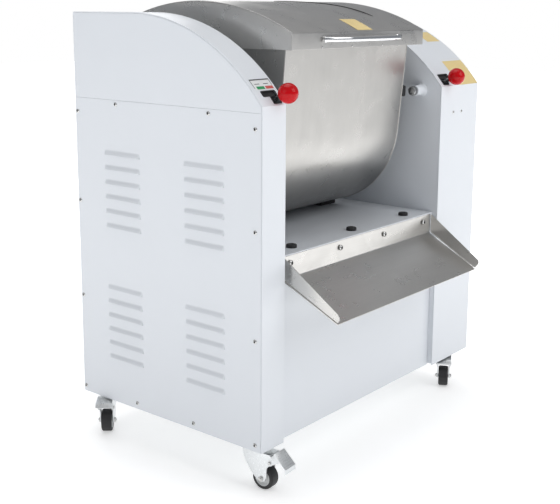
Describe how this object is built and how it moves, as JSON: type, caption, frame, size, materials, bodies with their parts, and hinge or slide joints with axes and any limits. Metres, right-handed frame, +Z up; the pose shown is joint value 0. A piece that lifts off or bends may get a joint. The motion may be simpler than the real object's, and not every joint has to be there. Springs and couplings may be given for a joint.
{
  "type": "tilting trough dough mixer",
  "caption": "Free-standing dough mixer: a lidded stainless trough with an agitator tilts between two white towers above a discharge chute, on braked swivel casters.",
  "frame": {"origin": "bottom centre of the whole machine's bounding box, on the floor", "axes": "+X from the left tower to the right, +Y from the front (chute side) to the rear, +Z up"},
  "size_m": [0.994, 0.7298, 1.0809],
  "materials": {
    "white_paint": "smooth white powder coat",
    "zinc": "bright zinc plate",
    "black_rubber": "matt black",
    "black_plastic": "satin black",
    "brushed_stainless": "brushed stainless sheet",
    "cast_iron": "painted casting",
    "turned_steel": "turned and ground",
    "chrome": "polished",
    "red_plastic": "glossy red",
    "caster_tyre": "black solid tyre"
  },
  "bodies": {
    "frame": {"left_tower_wrap": "white_paint", "right_tower_wrap": "white_paint", "left_tower_inner_wall": "white_paint", "right_tower_inner_wall": "white_paint", "left_tower_cap": "white_paint", "right_tower_cap": "white_paint", "left_side_panel": "white_paint", "right_side_panel": "white_paint", "floor_pan": "zinc", "front_panel": "white_paint", "rear_panel": "white_paint", "deck_plate": "white_paint", "deck_bumper_left": "black_rubber", "deck_bumper_middle": "black_rubber", "deck_bumper_right": "black_rubber", "trough_rest_pad": "black_rubber", "cable_gland": "black_plastic", "discharge_chute": "brushed_stainless", "trunnion_bearing_left": "cast_iron", "trunnion_bearing_right": "cast_iron", "drive_chain": "turned_steel", "drive_belt": "black_rubber", "layshaft_bearing": "cast_iron", "motor": "cast_iron", "motor_seat": "zinc", "clutch_rod": "turned_steel", "lock_boss": "white_paint", "caster_plate_front_left": "zinc", "caster_plate_front_right": "zinc", "caster_plate_rear_left": "zinc", "caster_plate_rear_right": "zinc"},
    "trough": {"trough": "brushed_stainless", "trough_lock_lug": "black_rubber"},
    "lid": {"lid": "brushed_stainless", "lid_handle": "chrome"},
    "agitator": {"agitator_shaft": "turned_steel", "agitator_arm_left": "brushed_stainless", "agitator_arm_right": "brushed_stainless", "agitator_bar_a": "brushed_stainless", "agitator_bar_b": "brushed_stainless", "agitator_sprocket": "turned_steel"},
    "layshaft": {"layshaft": "turned_steel"},
    "motor_rotor": {"motor_pulley": "turned_steel"},
    "clutch": {"clutch_lever": "turned_steel", "clutch_knob": "red_plastic"},
    "lock": {"lock_pin": "turned_steel", "lock_knob": "red_plastic"},
    "front_left_fork": {"caster_fork_front_left": "zinc"},
    "front_left_wheel": {"caster_wheel_front_left": "caster_tyre"},
    "front_left_pedal": {"caster_pedal_front_left": "zinc"},
    "front_right_fork": {"caster_fork_front_right": "zinc"},
    "front_right_wheel": {"caster_wheel_front_right": "caster_tyre"},
    "front_right_pedal": {"caster_pedal_front_right": "zinc"},
    "rear_left_fork": {"caster_fork_rear_left": "zinc"},
    "rear_left_wheel": {"caster_wheel_rear_left": "caster_tyre"},
    "rear_left_pedal": {"caster_pedal_rear_left": "zinc"},
    "rear_right_fork": {"caster_fork_rear_right": "zinc"},
    "rear_right_wheel": {"caster_wheel_rear_right": "caster_tyre"},
    "rear_right_pedal": {"caster_pedal_rear_right": "zinc"}
  },
  "joints": [
    {"name": "trough_tilt", "type": "hinge", "parent": "frame", "child": "trough", "pos_m": [-0.0585, 0.08789, 0.776], "axis": [1, 0, 0], "range_deg": [0, 70]},
    {"name": "lid_open", "type": "hinge", "parent": "trough", "child": "lid", "pos_m": [-0.0585, 0.32289, 0.992], "axis": [-1, 0, 0], "range_deg": [0, 95]},
    {"name": "agitator_spin", "type": "hinge", "parent": "frame", "child": "agitator", "pos_m": [-0.0585, 0.08789, 0.776], "axis": [1, 0, 0], "continuous": true},
    {"name": "layshaft_spin", "type": "hinge", "parent": "frame", "child": "layshaft", "pos_m": [-0.442, 0.19489, 0.334], "axis": [1, 0, 0], "continuous": true},
    {"name": "motor_spin", "type": "hinge", "parent": "frame", "child": "motor_rotor", "pos_m": [-0.442, -0.02511, 0.204], "axis": [1, 0, 0], "continuous": true},
    {"name": "clutch_slide", "type": "slide", "parent": "frame", "child": "clutch", "axis": [1, 0, 0], "range_m": [-0.01, 0]},
    {"name": "lock_slide", "type": "slide", "parent": "frame", "child": "lock", "axis": [1, 0, 0], "range_m": [-0.015, 0]},
    {"name": "front_left_swivel", "type": "hinge", "parent": "frame", "child": "front_left_fork", "pos_m": [-0.416, -0.17711, 0.05], "axis": [0, 0, 1], "continuous": true},
    {"name": "front_left_roll", "type": "hinge", "parent": "front_left_fork", "child": "front_left_wheel", "pos_m": [-0.41447, -0.19905, 0.028], "axis": [0.9976, 0.0698, 0], "continuous": true},
    {"name": "front_left_brake", "type": "hinge", "parent": "front_left_fork", "child": "front_left_pedal", "pos_m": [-0.41276, -0.22349, 0.072], "axis": [0.9976, 0.0698, 0], "range_deg": [-40, 0]},
    {"name": "front_right_swivel", "type": "hinge", "parent": "frame", "child": "front_right_fork", "pos_m": [0.416, -0.17711, 0.05], "axis": [0, 0, 1], "continuous": true},
    {"name": "front_right_roll", "type": "hinge", "parent": "front_right_fork", "child": "front_right_wheel", "pos_m": [0.39695, -0.18811, 0.028], "axis": [0.5, -0.866, 0], "continuous": true},
    {"name": "front_right_brake", "type": "hinge", "parent": "front_right_fork", "child": "front_right_pedal", "pos_m": [0.37573, -0.20036, 0.072], "axis": [0.5, -0.866, 0], "range_deg": [0, 40]},
    {"name": "rear_left_swivel", "type": "hinge", "parent": "frame", "child": "rear_left_fork", "pos_m": [-0.416, 0.32689, 0.05], "axis": [0, 0, 1], "continuous": true},
    {"name": "rear_left_roll", "type": "hinge", "parent": "rear_left_fork", "child": "rear_left_wheel", "pos_m": [-0.4326, 0.31246, 0.028], "axis": [0.6561, -0.7547, 0], "continuous": true},
    {"name": "rear_left_brake", "type": "hinge", "parent": "rear_left_fork", "child": "rear_left_pedal", "pos_m": [-0.45109, 0.29639, 0.072], "axis": [0.6561, -0.7547, 0], "range_deg": [0, 40]},
    {"name": "rear_right_swivel", "type": "hinge", "parent": "frame", "child": "rear_right_fork", "pos_m": [0.416, 0.32689, 0.05], "axis": [0, 0, 1], "continuous": true},
    {"name": "rear_right_roll", "type": "hinge", "parent": "rear_right_fork", "child": "rear_right_wheel", "pos_m": [0.4326, 0.31246, 0.028], "axis": [0.6561, 0.7547, 0], "continuous": true},
    {"name": "rear_right_brake", "type": "hinge", "parent": "rear_right_fork", "child": "rear_right_pedal", "pos_m": [0.45109, 0.29639, 0.072], "axis": [0.6561, 0.7547, 0], "range_deg": [0, 40]}
  ],
  "couplings": [
    {"joint": "layshaft_spin", "follows": "agitator_spin", "ratio": 3},
    {"joint": "motor_spin", "follows": "agitator_spin", "ratio": 7.5}
  ]
}
